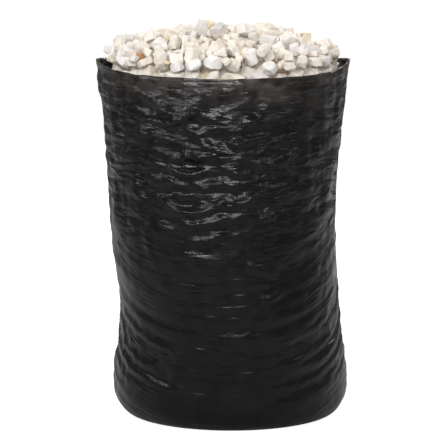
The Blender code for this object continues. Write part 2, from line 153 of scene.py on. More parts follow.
def hanging_folds():
    """Folds of the front: start, end, sag, rise and half width, laid out on the film."""
    return [
        ((-0.132, 0.492), (0.022, 0.510), 0.030, 0.0096, 0.014),
        ((-0.096, 0.452), (0.010, 0.462), 0.012, 0.0080, 0.012),
        ((0.010, 0.498), (0.064, 0.506), 0.010, 0.0074, 0.011),
        ((-0.070, 0.412), (-0.012, 0.420), 0.006, 0.0064, 0.011),
        ((0.072, 0.456), (0.108, 0.462), 0.004, 0.0064, 0.010),
        ((0.098, 0.556), (0.160, 0.590), 0.004, 0.0090, 0.013),
        ((0.046, 0.660), (0.078, 0.640), 0.002, 0.0080, 0.013),
        ((-0.150, 0.690), (-0.020, 0.600), -0.010, 0.0080, 0.014),
        ((-0.120, 0.640), (-0.040, 0.680), 0.004, 0.0076, 0.012),
        ((0.000, 0.560), (0.062, 0.548), 0.006, 0.0074, 0.012),
        ((-0.110, 0.560), (-0.030, 0.556), 0.010, 0.0080, 0.012),
        ((-0.085, 0.590), (-0.010, 0.582), 0.004, 0.0080, 0.011),
        ((0.006, 0.640), (0.030, 0.600), 0.000, 0.0080, 0.012),
        ((0.012, 0.604), (0.096, 0.620), -0.004, 0.0076, 0.012),
        ((-0.110, 0.530), (-0.060, 0.516), 0.002, 0.0080, 0.010),
        ((0.040, 0.370), (0.118, 0.340), 0.006, 0.0064, 0.014),
        ((0.070, 0.290), (0.118, 0.300), 0.004, 0.0056, 0.012),
    ]


BACK_FOLDS = 16
BACK_FOLD_SPREAD = 0.18
BACK_FOLD_LOWEST = 0.40
BACK_FOLD_STEP = 0.018
BACK_FOLD_REACH = (0.020, 0.065)
BACK_FOLD_CLIMB = 0.025
BACK_FOLD_SAG = (0.002, 0.020)
BACK_FOLD_RISE = 0.008
BACK_FOLD_HALF_WIDTH = 0.012


def back_folds(chance):
    """Loose hanging folds across the back, like those of the front."""
    folds = []
    for number in range(BACK_FOLDS):
        across = SACK_ROUND / 2.0 + chance.uniform(-BACK_FOLD_SPREAD, BACK_FOLD_SPREAD)
        up = BACK_FOLD_LOWEST + BACK_FOLD_STEP * number
        reach = chance.uniform(*BACK_FOLD_REACH)
        start = (across - reach, up)
        end = (across + reach, up + chance.uniform(-BACK_FOLD_CLIMB, BACK_FOLD_CLIMB))
        sag = chance.uniform(*BACK_FOLD_SAG)
        folds.append((start, end, sag, BACK_FOLD_RISE, BACK_FOLD_HALF_WIDTH))
    return folds


FOLD_TAPER = 5.0
FOLD_BLUNTNESS = 0.15


def fold_rise(across, up, fold):
    """How far one fold lifts the film: a tent along a sagging line, tapered at its ends."""
    (start_across, start_up), (end_across, end_up), sag, rise, reach = fold
    run = end_across - start_across
    climb = end_up - start_up
    offset = (across - start_across + SACK_ROUND / 2.0) % SACK_ROUND - SACK_ROUND / 2.0
    share = (offset * run + (up - start_up) * climb) / (run * run + climb * climb)
    share = np.clip(share, 0.0, 1.0)
    line_up = start_up + climb * share - sag * 4.0 * share * (1.0 - share)
    away = np.hypot(offset - run * share, up - line_up)
    taper = np.minimum(1.0, FOLD_TAPER * np.minimum(share, 1.0 - share) + FOLD_BLUNTNESS)
    return rise * taper * np.clip(1.0 - away / reach, 0.0, 1.0)


DRAG_SLOPE = 0.55
DRAG_CURVE = 0.75
DRAG_RISE = 0.0030
DRAG_WIDTH = 0.021
DRAG_LENGTH = 0.22
DRAGS_FADE = 0.12
HANG_FROM = 0.36
HANG_FADE = 0.16
CALM_BELOW_RIM = 0.035
ROLL_RISE = 0.0044
ROLL_WIDTH = 0.020
ROLL_LENGTH = 0.070
SLACK_RISE = 0.0022
SWELL_RISE = 0.0034
SWELL_SIZE = 0.16
CRUMPLE_RISE = 0.0034
CRUMPLE_SIZE = 0.034
DENT_RISE = 0.0010
DENT_SIZE = 0.022


def drag_level(heights, across):
    """Heights counted along the wrinkles that slant down from both side edges."""
    from_edge = np.abs(np.abs(across) - SACK_ROUND / 4.0)
    return heights + DRAG_SLOPE * from_edge - DRAG_CURVE * from_edge ** 2


turns, heights, rim = lattice(FILM_COLUMNS, FILM_ROWS)
across = turns * SACK_ROUND
spots = sack_points(turns, heights)
upper = ease((heights - HANG_FROM) / HANG_FADE)
upper *= 1.0 - ease((heights - rim + CALM_BELOW_RIM) / CALM_BELOW_RIM)
lower = 1.0 - ease((heights - HANG_FROM) / DRAGS_FADE)
slanted = drag_level(heights, across)
drags = np.stack([slanted / DRAG_WIDTH, spots[:, 0] / DRAG_LENGTH, spots[:, 1] / DRAG_LENGTH], -1)
rolls = np.stack([spots[:, 0] / ROLL_LENGTH, spots[:, 1] / ROLL_LENGTH, heights / ROLL_WIDTH], -1)
lift = SLACK_RISE + SWELL_RISE * at_points(spots / SWELL_SIZE)
lift += ROLL_RISE * upper * at_points(rolls)
lift += CRUMPLE_RISE * upper * at_points(spots / CRUMPLE_SIZE)
lift += DRAG_RISE * lower * at_points(drags)
lift += DENT_RISE * at_points(spots / DENT_SIZE)
for fold in hanging_folds() + back_folds(random.Random(SEED)):
    lift += fold_rise(across, heights, fold)
for side in (-0.25, 0.25):
    from_ear = np.abs(across - side * SACK_ROUND) / EAR_HALF_WIDTH
    grown = ease((heights - RIM_HEIGHT + EAR_LENGTH) / EAR_LENGTH)
    lift += EAR_RISE * grown * np.clip(1.0 - from_ear, 0.0, 1.0)
film_points = lifted(spots, heights, lift * ease(heights / FOLD_FADE_HEIGHT))


def rolled_sheet(name, points, columns, rows):
    """A grid whose corners go to the given points, its two side edges joined."""
    bm = bmesh.new()
    bmesh.ops.create_grid(bm, x_segments=columns, y_segments=rows, size=0.5)
    film_map = bm.loops.layers.uv.new("film_map")
    for vert in bm.verts:
        row = round((vert.co.y + 0.5) * rows)
        for loop in vert.link_loops:
            loop[film_map].uv = (vert.co.x * SACK_ROUND, row / rows * RIM_HEIGHT)
        vert.co = points[row * (columns + 1) + round((vert.co.x + 0.5) * columns)]
    bmesh.ops.remove_doubles(bm, verts=bm.verts, dist=SEAM_GAP)
    bmesh.ops.recalc_face_normals(bm, faces=bm.faces)
    mesh = bpy.data.meshes.new(name)
    bm.to_mesh(mesh)
    bm.free()
    thing = bpy.data.objects.new(name, mesh)
    bpy.context.collection.objects.link(thing)
    return thing


def mesh_points(mesh):
    points = np.empty(len(mesh.vertices) * 3)
    mesh.vertices.foreach_get("co", points)
    return points.reshape(-1, 3)


SLUMP_FROM = 0.34
SLUMP_FADE = 0.14
SLACK_UP_TO = 0.675
SLACK_FADE = 0.04
EVEN_SLACK = 0.036
EDGE_SLACK = 0.026
FACE_SLACK = 0.048
FACE_POWER = 1.5
SLACK_LEVELS = np.linspace(0.0, 0.80, 161)


def slumped_heights(points):
    """Heights of the same film before it slumped: it was longer, most of all in front and behind."""
    upper = ease((SLACK_LEVELS - SLUMP_FROM) / SLUMP_FADE)
    upper *= 1.0 - ease((SLACK_LEVELS - SLACK_UP_TO) / SLACK_FADE)
    steps = np.diff(SLACK_LEVELS)
    even_slack = np.concatenate([[0.0], np.cumsum(EVEN_SLACK * steps)])
    upper_slack = np.concatenate([[0.0], np.cumsum(0.5 * (upper[1:] + upper[:-1]) * steps)])
    face = np.abs(np.cos(np.arctan2(points[:, 0] + LEAN, -points[:, 1]))) ** FACE_POWER
    height = points[:, 2]
    slack = np.interp(height, SLACK_LEVELS, even_slack)
    share = EDGE_SLACK + FACE_SLACK * face
    return height + slack + share * np.interp(height, SLACK_LEVELS, upper_slack)


FILL_COLUMNS = 150
FILL_ROWS = 70
FILL_INSET = 0.003
FILL_LUMP_RISE = 0.0020
FILL_LUMP_SIZE = 0.030
HELD_BELOW = 0.050
HELD_FROM_RIM = 0.007
LOOSE_UP_TO = 0.690
LOOSE_FADE = 0.045
TOUCH_GAP = 0.001
CLOTH_FRAMES = 22
MOST_MOVE = 0.022
LEAST_MOVE = 1e-6
CALM_ABOVE_FOOT = 0.070


def slump(film):
    """Lets the slack film buckle over the lumpy fill, and keeps the shape that it takes."""
    before = mesh_points(film.data)
    film.shape_key_add(name="as_hung")
    longer = film.shape_key_add(name="longer")
    flat = before.copy()
    flat[:, 2] = slumped_heights(before)
    longer.data.foreach_set("co", flat.ravel())
    held = film.vertex_groups.new(name="held")
    ends = np.flatnonzero((before[:, 2] < HELD_BELOW) | (before[:, 2] > RIM_HEIGHT - HELD_FROM_RIM))
    held.add(ends.tolist(), 1.0, "REPLACE")
    loose = film.vertex_groups.new(name="loose")
    height = before[:, 2]
    share = ease((height - SLUMP_FROM) / SLUMP_FADE)
    share *= 1.0 - ease((height - LOOSE_UP_TO) / LOOSE_FADE)
    for index, weight in enumerate(share):
        loose.add([index], weight, "REPLACE")
    fill_turns, fill_heights, _ = lattice(FILL_COLUMNS, FILL_ROWS)
    inner = sack_points(fill_turns, fill_heights, FILL_INSET)
    inner = lifted(inner, fill_heights, FILL_LUMP_RISE * at_points(inner / FILL_LUMP_SIZE))
    fill = rolled_sheet("fill_shape", inner, FILL_COLUMNS, FILL_ROWS)
    fill.modifiers.new("touch", "COLLISION")
    fill.collision.thickness_outer = TOUCH_GAP
    cloth = film.modifiers.new("cloth", "CLOTH")
    settings = cloth.settings
    settings.quality = 4
    settings.mass = 0.02
    settings.air_damping = 2.0
    settings.tension_stiffness = 40.0
    settings.compression_stiffness = 40.0
    settings.shear_stiffness = 10.0
    settings.bending_stiffness = 0.02
    settings.tension_damping = 10.0
    settings.compression_damping = 10.0
    settings.shear_damping = 10.0
    settings.vertex_group_shrink = "loose"
    settings.shrink_min = -0.006
    settings.shrink_max = -0.026
    settings.rest_shape_key = longer
    settings.vertex_group_mass = "held"
    settings.effector_weights.gravity = 0.12
    cloth.collision_settings.distance_min = TOUCH_GAP
    cloth.point_cache.frame_start = 1
    cloth.point_cache.frame_end = CLOTH_FRAMES
    for step in range(1, CLOTH_FRAMES + 1):
        scene.frame_set(step)
    evaluated = film.evaluated_get(bpy.context.evaluated_depsgraph_get())
    slumped = bpy.data.meshes.new_from_object(evaluated)
    move = mesh_points(slumped) - before
    length = np.linalg.norm(move, axis=1)[:, None]
    move *= np.minimum(1.0, MOST_MOVE / np.maximum(length, LEAST_MOVE))
    move *= ease((before[:, 2:] - HELD_BELOW) / CALM_ABOVE_FOOT)
    scene.frame_set(1)
    film.modifiers.remove(cloth)
    film.shape_key_clear()
    film.vertex_groups.clear()
    film.data.vertices.foreach_set("co", (before + move).ravel())
    fill_mesh = fill.data
    bpy.data.objects.remove(fill, do_unlink=True)
    bpy.data.meshes.remove(fill_mesh)
    bpy.data.meshes.remove(slumped)


film = rolled_sheet("crumpled_film", film_points, FILM_COLUMNS, FILM_ROWS)
slump(film)
bm = bmesh.new()
bm.from_mesh(film.data)
foot_edges = [edge for edge in bm.edges if edge.is_boundary and edge.verts[0].co.z < BULGE_HEIGHT]
bmesh.ops.holes_fill(bm, edges=foot_edges, sides=0)
bmesh.ops.recalc_face_normals(bm, faces=bm.faces)
bm.to_mesh(film.data)
bm.free()
film_at = mesh_points(film.data)
film_across = np.arctan2(film_at[:, 0] + LEAN, -film_at[:, 1]) / (2.0 * math.pi) * SACK_ROUND
slant = film.data.attributes.new("slant", "FLOAT", "POINT")
slant.data.foreach_set("value", drag_level(film_at[:, 2], film_across))
film.data.shade_smooth()
film_wall = film.modifiers.new("film_wall", "SOLIDIFY")
film_wall.thickness = FILM_WALL
film_wall.offset = -1.0
CREASE_WANDER = 1.6
CREASE_WANDER_SCALE = 0.7


class Nodes:
    """A short way to lay out one material's nodes."""

    def __init__(self, name):
        self.material = bpy.data.materials.new(name)
        self.material.use_nodes = True
        self.tree = self.material.node_tree
        self.shader = self.tree.nodes["Principled BSDF"]

    def add(self, kind, **values):
        node = self.tree.nodes.new(kind)
        for key, value in values.items():
            setattr(node, key, value)
        return node

    def link(self, source, target):
        self.tree.links.new(source, target)

    def stretched(self, where, scale):
        node = self.add("ShaderNodeMapping")
        node.inputs["Scale"].default_value = scale
        self.link(where, node.inputs["Vector"])
        return node.outputs["Vector"]

    def noise(self, where, scale, detail=3.0, roughness=0.55, swirl=0.0, kind="FBM"):
        node = self.add("ShaderNodeTexNoise", noise_type=kind)
        node.inputs["Distortion"].default_value = swirl
        node.inputs["Scale"].default_value = scale
        node.inputs["Detail"].default_value = detail
        node.inputs["Roughness"].default_value = roughness
        self.link(where, node.inputs["Vector"])
        return node.outputs["Fac"]

    def ramp(self, value, *stops):
        node = self.add("ShaderNodeValToRGB")
        elements = node.color_ramp.elements
        while len(elements) < len(stops):
            elements.new(0.5)
        for element, (place, colour) in zip(elements, stops):
            element.position = place
            element.color = (*colour, 1.0)
        self.link(value, node.inputs["Fac"])
        return node.outputs["Color"]

    def math(self, operation, first, second):
        node = self.add("ShaderNodeMath", operation=operation)
        for socket, value in zip(node.inputs, (first, second)):
            if isinstance(value, (int, float)):
                socket.default_value = value
            else:
                self.link(value, socket)
        return node.outputs[0]

    def multiplied(self, first, second):
        node = self.add("ShaderNodeMix", data_type="RGBA", blend_type="MULTIPLY")
        node.inputs["Factor"].default_value = 1.0
        self.link(first, node.inputs["A"])
        self.link(second, node.inputs["B"])
        return node.outputs["Result"]

    def between(self, value, low, high, first, second):
        """Goes smoothly from the first value at the low end to the second at the high end."""
        node = self.add("ShaderNodeMapRange", interpolation_type="SMOOTHSTEP")
        node.inputs["From Min"].default_value = low
        node.inputs["From Max"].default_value = high
        node.inputs["To Min"].default_value = first
        node.inputs["To Max"].default_value = second
        self.link(value, node.inputs["Value"])
        return node.outputs["Result"]

    def facets(self, where, scale):
        """Heights of a crumpled sheet: tilted flats that meet in sharp, wandering creases."""
        creased = self.stretched(where, scale)
        wander = self.add("ShaderNodeTexNoise")
        wander.inputs["Scale"].default_value = CREASE_WANDER_SCALE
        self.link(creased, wander.inputs["Vector"])
        moved = self.add("ShaderNodeVectorMath", operation="MULTIPLY_ADD")
        moved.inputs[1].default_value = (CREASE_WANDER,) * 3
        self.link(wander.outputs["Color"], moved.inputs[0])
        self.link(creased, moved.inputs[2])
        cells = self.add("ShaderNodeTexVoronoi", feature="F1", distance="MANHATTAN")
        cells.inputs["Scale"].default_value = 1.0
        self.link(moved.outputs[0], cells.inputs["Vector"])
        return cells.outputs["Distance"]

    def bump(self, height, strength, distance, below=None):
        node = self.add("ShaderNodeBump")
        if isinstance(strength, float):
            node.inputs["Strength"].default_value = strength
        else:
            self.link(strength, node.inputs["Strength"])
        node.inputs["Distance"].default_value = distance
        self.link(height, node.inputs["Height"])
        if below is not None:
            self.link(below, node.inputs["Normal"])
        return node.outputs["Normal"]


BACKLIGHT_EDGE_RISE = 0.13
DRAG_LINES = 120.0
DRAG_LINE_STRETCH = 13.0
PACK_FOLD_STEP = 0.366
PACK_FOLD_START = 0.0716
PACK_FOLD_WIDTH = 0.0035


def film_material():
    """Glossy black polythene: nearly black below; near the rim a smoky brown is painted in for light
    coming through the film, dimmed by painted shade patches.
    """
    made = Nodes("black_polythene")
    where = made.add("ShaderNodeTexCoord").outputs["Object"]
    slant = made.add("ShaderNodeAttribute", attribute_name="slant").outputs["Fac"]
    place = made.add("ShaderNodeSeparateXYZ")
    made.link(where, place.inputs[0])
    # Painted light: a smoky brown band near the rim stands for light coming through the thin film, and
    # noise makes its lower edge patchy.
    backlight_edge_noise = made.noise(where, scale=13.0, detail=4.0)
    level = made.math("ADD", place.outputs["Z"], made.math("MULTIPLY", backlight_edge_noise, BACKLIGHT_EDGE_RISE))
    painted_backlight = made.ramp(level, (0.0, (0.0026, 0.0026, 0.0026)), (0.725, (0.0045, 0.0042, 0.0042)),
                      (0.765, (0.022, 0.0175, 0.0155)), (0.83, (0.066, 0.052, 0.046)))
    # Painted shade: darker patches are multiplied over the film's colour and dim the painted backlit
    # band unevenly.
    backlight_patch_noise = made.noise(where, scale=34.0, detail=2.0)
    backlight_shade_patches = made.ramp(backlight_patch_noise, (0.38, (0.30,) * 3), (0.58, (1.0,) * 3))
    made.link(made.multiplied(painted_backlight, backlight_shade_patches), made.shader.inputs["Base Color"])
    handling = made.noise(where, scale=22.0, detail=5.0)
    gloss = made.ramp(handling, (0.3, (0.21,) * 3), (0.7, (0.38,) * 3))
    made.link(gloss, made.shader.inputs["Roughness"])
    drawn = made.add("ShaderNodeCombineXYZ")
    made.link(made.math("MULTIPLY", slant, DRAG_LINES), drawn.inputs["X"])
    made.link(made.math("MULTIPLY", place.outputs["X"], DRAG_LINE_STRETCH), drawn.inputs["Y"])
    made.link(made.math("MULTIPLY", place.outputs["Y"], DRAG_LINE_STRETCH), drawn.inputs["Z"])
    drags = made.noise(drawn.outputs[0], scale=1.0, detail=3.0, roughness=0.6, swirl=0.3,
                       kind="RIDGED_MULTIFRACTAL")
    below = made.between(place.outputs["Z"], low=0.34, high=0.50, first=0.75, second=0.10)
    relief = made.bump(drags, below, distance=0.0021)
    above = made.between(place.outputs["Z"], low=0.30, high=0.52, first=0.06, second=0.62)
    for scale, depth in (((11.0, 11.0, 30.0), 0.0085), ((30.0, 30.0, 78.0), 0.0014)):
        relief = made.bump(made.facets(where, scale), above, depth, relief)
    laid_flat = made.add("ShaderNodeSeparateXYZ")
    made.link(made.add("ShaderNodeUVMap", uv_map="film_map").outputs["UV"], laid_flat.inputs[0])
    along = made.math("ADD", laid_flat.outputs["X"], PACK_FOLD_START)
    from_fold = made.math("PINGPONG", along, PACK_FOLD_STEP)
    crease = made.between(from_fold, low=0.0, high=PACK_FOLD_WIDTH, first=1.0, second=0.0)
    relief = made.bump(crease, strength=0.5, distance=0.0012, below=relief)
    made.link(relief, made.shader.inputs["Normal"])
    made.shader.inputs["Specular IOR Level"].default_value = 0.26
    return made.material


film.data.materials.append(film_material())
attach(film, "root")
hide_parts("film_sack")

# The chunks of the top layer are chopped or torn from thick foam, so each has flat cut faces,
# soft worn edges and a slightly open surface.  Most are white or cream; a few have aged to
# grey, yellow, orange or olive.  They lie loose on each other.
CHUNK_CELL = 0.0016
CHUNK_WEAR = 0.0013
CHOPS = 6
CHOP_DEPTH = (0.60, 0.88)
CHOP_GAP = 1e-6
MERGE_GAP = 0.00002
WEAR_SIZE = 0.011
FINE_WEAR_SIZE = 0.0042
FINE_WEAR = 0.45
WEAR_STEP_X = 1.7
WEAR_STEP_Y = 0.9
FOAM_CELLS = 620.0


def slice_off(bm, spot, normal, gap):
    """Cuts off what lies beyond a plane, and closes the cut."""
    geometry = bm.verts[:] + bm.edges[:] + bm.faces[:]
    cut = bmesh.ops.bisect_plane(
        bm, geom=geometry, dist=gap, plane_co=spot, plane_no=normal, clear_outer=True)
    edges = [part for part in cut["geom_cut"] if isinstance(part, bmesh.types.BMEdge)]
    if edges:
        bmesh.ops.edgeloop_fill(bm, edges=edges)


def chop(bm, chance):
    """Takes a few shallow slices off a chunk, so that no two faces lie square."""
    middle = sum((vert.co for vert in bm.verts), Vector()) / len(bm.verts)
    for _ in range(CHOPS):
        normal = Vector([chance.uniform(-1.0, 1.0) for _ in range(3)]).normalized()
        reach = max((vert.co - middle).dot(normal) for vert in bm.verts)
        slice_off(bm, middle + normal * reach * chance.uniform(*CHOP_DEPTH), normal, CHOP_GAP)


def worn_mesh(bm, name, cell, wear, seed):
    """A chunk's mesh made even, its edges worn soft and its faces slightly uneven."""
    rough = bpy.data.meshes.new("rough")
    bm.to_mesh(rough)
    bm.free()
    holder = bpy.data.objects.new("rough", rough)
    bpy.context.collection.objects.link(holder)
    even = holder.modifiers.new("even", "REMESH")
    even.mode = "VOXEL"
    even.voxel_size = cell
    soften = holder.modifiers.new("soften", "SMOOTH")
    soften.factor = 0.5
    soften.iterations = 1
    bpy.context.view_layer.update()
    evaluated = holder.evaluated_get(bpy.context.evaluated_depsgraph_get())
    mesh = bpy.data.meshes.new_from_object(evaluated)
    mesh.name = name
    bpy.data.objects.remove(holder, do_unlink=True)
    bpy.data.meshes.remove(rough)
    shift = Vector((seed * WEAR_STEP_X, seed * WEAR_STEP_Y, 0.0))
    normals = [vert.normal.copy() for vert in mesh.vertices]
    for vert, normal in zip(mesh.vertices, normals):
        broad = noise.noise(vert.co / WEAR_SIZE + shift)
        fine = noise.noise(vert.co / FINE_WEAR_SIZE + shift)
        vert.co += normal * (wear * broad + FINE_WEAR * wear * fine)
    return mesh


def foam_material(name, light, dark, toned=False):
    """Matt foam: a light tint mottled by a darker one, with small open cells."""
    made = Nodes(name)
    where = made.add("ShaderNodeTexCoord").outputs["Object"]
    colour = made.ramp(made.noise(where, scale=30.0, detail=4.0), (0.34, dark), (0.60, light))
    if toned:
        tone = made.add("ShaderNodeAttribute", attribute_name="tone").outputs["Fac"]
        tint = made.ramp(tone, (0.0, (1.0, 1.0, 1.0)), (0.35, (1.0, 0.97, 0.92)),
                         (0.65, (0.97, 0.92, 0.84)), (0.85, (0.86, 0.85, 0.84)),
                         (1.0, (0.95, 0.84, 0.60)))
        colour = made.multiplied(colour, tint)
    made.link(colour, made.shader.inputs["Base Color"])
    cells = made.add("ShaderNodeTexVoronoi")
    cells.inputs["Scale"].default_value = FOAM_CELLS
    made.link(where, cells.inputs["Vector"])
    pits = made.noise(where, scale=180.0, detail=5.0, roughness=0.6)
    relief = made.bump(pits, strength=0.45, distance=0.0012)
    relief = made.bump(cells.outputs["Distance"], strength=0.25, distance=0.0006, below=relief)
    made.link(relief, made.shader.inputs["Normal"])
    made.shader.inputs["Roughness"].default_value = 0.72
    made.shader.inputs["Specular IOR Level"].default_value = 0.25
    made.shader.inputs["Subsurface Weight"].default_value = 0.15
    made.shader.inputs["Subsurface Radius"].default_value = (0.005, 0.004, 0.003)
    made.shader.inputs["Subsurface Scale"].default_value = 1.0
    return made.material


foam_tints = {
    "white": foam_material("white_foam", (0.83, 0.78, 0.73), (0.73, 0.67, 0.62)),
    "cream": foam_material("cream_foam", (0.81, 0.74, 0.65), (0.71, 0.63, 0.54)),
    "grey": foam_material("grey_foam", (0.72, 0.67, 0.63), (0.61, 0.565, 0.53)),
    "yellow": foam_material("yellow_foam", (0.78, 0.67, 0.40), (0.66, 0.50, 0.22)),
    "orange": foam_material("orange_foam", (0.56, 0.31, 0.15), (0.36, 0.15, 0.06)),
    "olive": foam_material("olive_foam", (0.42, 0.37, 0.18), (0.22, 0.19, 0.07)),
}
top_meshes = []
for number, name in enumerate(sorted(nodes)):
    if "_chunk_" not in name:
        continue
    tint = name.split("_")[0]
    bm = bmesh.new()
    bm.from_mesh(nodes[name].data)
    bmesh.ops.remove_doubles(bm, verts=bm.verts, dist=MERGE_GAP)
    chop(bm, random.Random(SEED + number))
    worn = worn_mesh(bm, name, CHUNK_CELL, CHUNK_WEAR, number)
    chunk = bpy.data.objects.new("foam_" + name, worn)
    bpy.context.collection.objects.link(chunk)
    chunk.data.shade_smooth()
    chunk.data.materials.clear()
    chunk.data.materials.append(foam_tints[tint])
    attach(chunk, "root")
    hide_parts(name)
    top_meshes.append(chunk.data)

# The chunks below them fill the sack.  Those that show between the loose ones are modelled,
# each with its own tone, down to where nothing can be seen; they are wedged together by the
# weight above and held by the film.
FILL_CLEARANCE = 0.010
HEAP_RISE = 0.075
HEAP_POWER = 2.2
TOP_LAYER = 0.034
BURIED_CHUNKS = 104
BURIED_SIZE = 0.031
DEEP_CHUNKS = 190
DEEP_SIZE = 0.036
DEEP_LAYER = 0.056
PLACE_MARGIN = 0.020
PLACE_TRIES = 24
INWARD_STEP = 0.01
SHORT_EDGE = 0.0003
BURIED_CELL = 0.0024
DEEP_CELL = 0.006
SIZE_SPREAD = (0.8, 1.2)
SEAT_SPREAD = (-0.2, 0.15)
MOST_TIP = 28.0
SLICES = {
    "block": (0.10, 0.16, 0.13, 0.08),
    "wedge": (0.52, 0.18, 0.10),
    "crumb": (0.30, 0.26, 0.34, 0.22, 0.18),
}
SLICE_SPREAD = (0.75, 1.25)
LEAST_SLANT = 0.15
SLICE_GAP = 1e-5


def mouth_share(x, y, margin=0.0):
    """How far out a place in plan lies: 0 in the middle of the mouth and 1 at its wall."""
    wide = half_width(RIM_HEIGHT) - margin
    deep = half_depth(RIM_HEIGHT) - margin
    return math.hypot((x - lean_at(RIM_HEIGHT)) / wide, y / deep)


def heap_height(x, y):
    return RIM_HEIGHT + HEAP_RISE * (1.0 - min(mouth_share(x, y), 1.0) ** HEAP_POWER)


def moved_inside(x, y, margin):
    """The place itself, or the nearest one towards the middle that lies inside the mouth."""
    while mouth_share(x, y, margin) > 1.0:
        x += (lean_at(RIM_HEIGHT) - x) * INWARD_STEP
        y -= y * INWARD_STEP
    return x, y


def spread_places(count, chance):
    """Places in plan, each as far from the others as a few tries can find."""
    places = []
    while len(places) < count:
        best = None
        best_away = -1.0
        for _ in range(PLACE_TRIES):
            x = lean_at(RIM_HEIGHT) + chance.uniform(-1, 1) * half_width(RIM_HEIGHT)
            y = chance.uniform(-1, 1) * half_depth(RIM_HEIGHT)
            if mouth_share(x, y, PLACE_MARGIN) > 1.0:
                continue
            away = min((math.hypot(x - px, y - py) for px, py in places), default=1.0)
            if away > best_away:
                best = (x, y)
                best_away = away
        if best:
            places.append(best)
    return places


def foam_chunk(size, shape, chance):
    """One cut piece of foam round its own middle, turned to lie as it fell."""
    bm = bmesh.new()
    bmesh.ops.create_cube(bm, size=1.0)
    for depth in SLICES[shape]:
        depth *= chance.uniform(*SLICE_SPREAD)
        normal = Vector([chance.choice((-1, 1)) * chance.uniform(LEAST_SLANT, 1.0) for _ in range(3)])
        normal.normalize()
        spot = normal * (0.5 * sum(abs(part) for part in normal) - depth)
        slice_off(bm, spot, normal, SLICE_GAP)
    bmesh.ops.scale(bm, vec=size, verts=bm.verts)
    turned = Matrix.Rotation(math.radians(chance.uniform(-180.0, 180.0)), 3, "Z")
    for axis in "XY":
        tip = math.radians(chance.uniform(-MOST_TIP, MOST_TIP))
        turned = Matrix.Rotation(tip, 3, axis) @ turned
    bmesh.ops.rotate(bm, cent=(0, 0, 0), matrix=turned, verts=bm.verts)
    bmesh.ops.remove_doubles(bm, verts=bm.verts, dist=SHORT_EDGE)
    bmesh.ops.recalc_face_normals(bm, faces=bm.faces)
    return bm


def placed_chunks(count, size, depth, seed):
    """Chunks spread under the heap's top, each wedged in where it fell."""
    chance = random.Random(seed)
    chunks = []
    for x, y in spread_places(count, chance):
        sizes = [size * chance.uniform(*SIZE_SPREAD) for _ in range(3)]
        bm = foam_chunk(sizes, chance.choice(("block", "wedge", "crumb", "block")), chance)
        reach = max(vert.co.length for vert in bm.verts)
        x, y = moved_inside(x, y, reach + FILL_CLEARANCE)
        height = heap_height(x, y) - depth + chance.uniform(*SEAT_SPREAD) * size
        bmesh.ops.translate(bm, vec=(x, y, height), verts=bm.verts)
        chunks.append((y, bm))
    return chunks


def joined_piece(name, meshes, material, replaced=()):
    """One piece from many chunks, with a tone kept for each."""
    chance = random.Random(SEED + len(meshes))
    bm = bmesh.new()
    for mesh in meshes:
        tone = mesh.attributes.new("tone", "FLOAT", "POINT")
        tone.data.foreach_set("value", [chance.random()] * len(mesh.vertices))
        bm.from_mesh(mesh)
        bpy.data.meshes.remove(mesh)
    joined = bpy.data.meshes.new(name)
    bm.to_mesh(joined)
    bm.free()
    joined.shade_smooth()
    joined.materials.append(material)
    piece = bpy.data.objects.new(name, joined)
    bpy.context.collection.objects.link(piece)
    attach(piece, "root")
    if replaced:
        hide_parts(*replaced)


mixed_foam = foam_material("mixed_foam", (0.84, 0.795, 0.75), (0.75, 0.695, 0.645), toned=True)
buried = placed_chunks(BURIED_CHUNKS, BURIED_SIZE, TOP_LAYER, SEED + 1)
buried.sort(key=lambda placed: placed[0])
supports = [BVHTree.FromBMesh(bm) for _, bm in buried]
half = BURIED_CHUNKS // 2
for part, chunks in (("front", buried[:half]), ("back", buried[half:])):
    meshes = []
    for number, (_, bm) in enumerate(chunks):
        chop(bm, random.Random(SEED + number))
        meshes.append(worn_mesh(bm, "buried", BURIED_CELL, CHUNK_WEAR, number))
    joined_piece("buried_chunks_" + part, meshes, mixed_foam, ("loose_fill",))
deep = []
for number, (_, bm) in enumerate(placed_chunks(DEEP_CHUNKS, DEEP_SIZE, DEEP_LAYER, SEED + 5)):
    supports.append(BVHTree.FromBMesh(bm))
    deep.append(worn_mesh(bm, "deep", DEEP_CELL, CHUNK_WEAR, number))
joined_piece("deep_chunks", deep, mixed_foam, ("loose_fill",))

# Smaller bits, broken off when the foam was chopped, lie in the hollows between the chunks
# and along the film's rim.  Each has dropped to the lowest seat near its place.
LARGE_BITS = [(-0.254, -0.006), (-0.248, -0.010), (-0.240, 0.022), (0.222, -0.020)]
LARGE_BIT_SIZE = 0.028
BITS = 130
BIT_SIZE = 0.019
RIM_BITS = 48
RIM_BIT_SIZE = 0.024
RIM_BIT_INSET = 0.022
RIM_BIT_SHIFT = 0.3
RIM_BIT_ABOVE = 0.026
CRUMBS = 90
CRUMB_SIZE = 0.0115
BIT_SPREAD = (0.6, 1.5)
BIT_TRIES = 14
BIT_NEAR = 0.024
BIT_SINK = 0.0015
BIT_CELL = 0.0020
BIT_WEAR = 0.6 * CHUNK_WEAR
FILM_CLEARANCE = 0.003
DROP_FROM = 1.0
for mesh in top_meshes:
    supports.append(BVHTree.FromPolygons([vert.co for vert in mesh.vertices],
                                         [face.vertices for face in mesh.polygons]))


def drop(bm, x, y):
    """How high a bit's middle lies when it rests on what is below it at a place."""
    highest = -1.0
    for vert in bm.verts:
        above = Vector((x + vert.co.x, y + vert.co.y, DROP_FROM))
        for support in supports:
            spot, _, _, _ = support.ray_cast(above, Vector((0.0, 0.0, -1.0)))
            if spot is not None:
                highest = max(highest, spot.z - vert.co.z)
    return highest


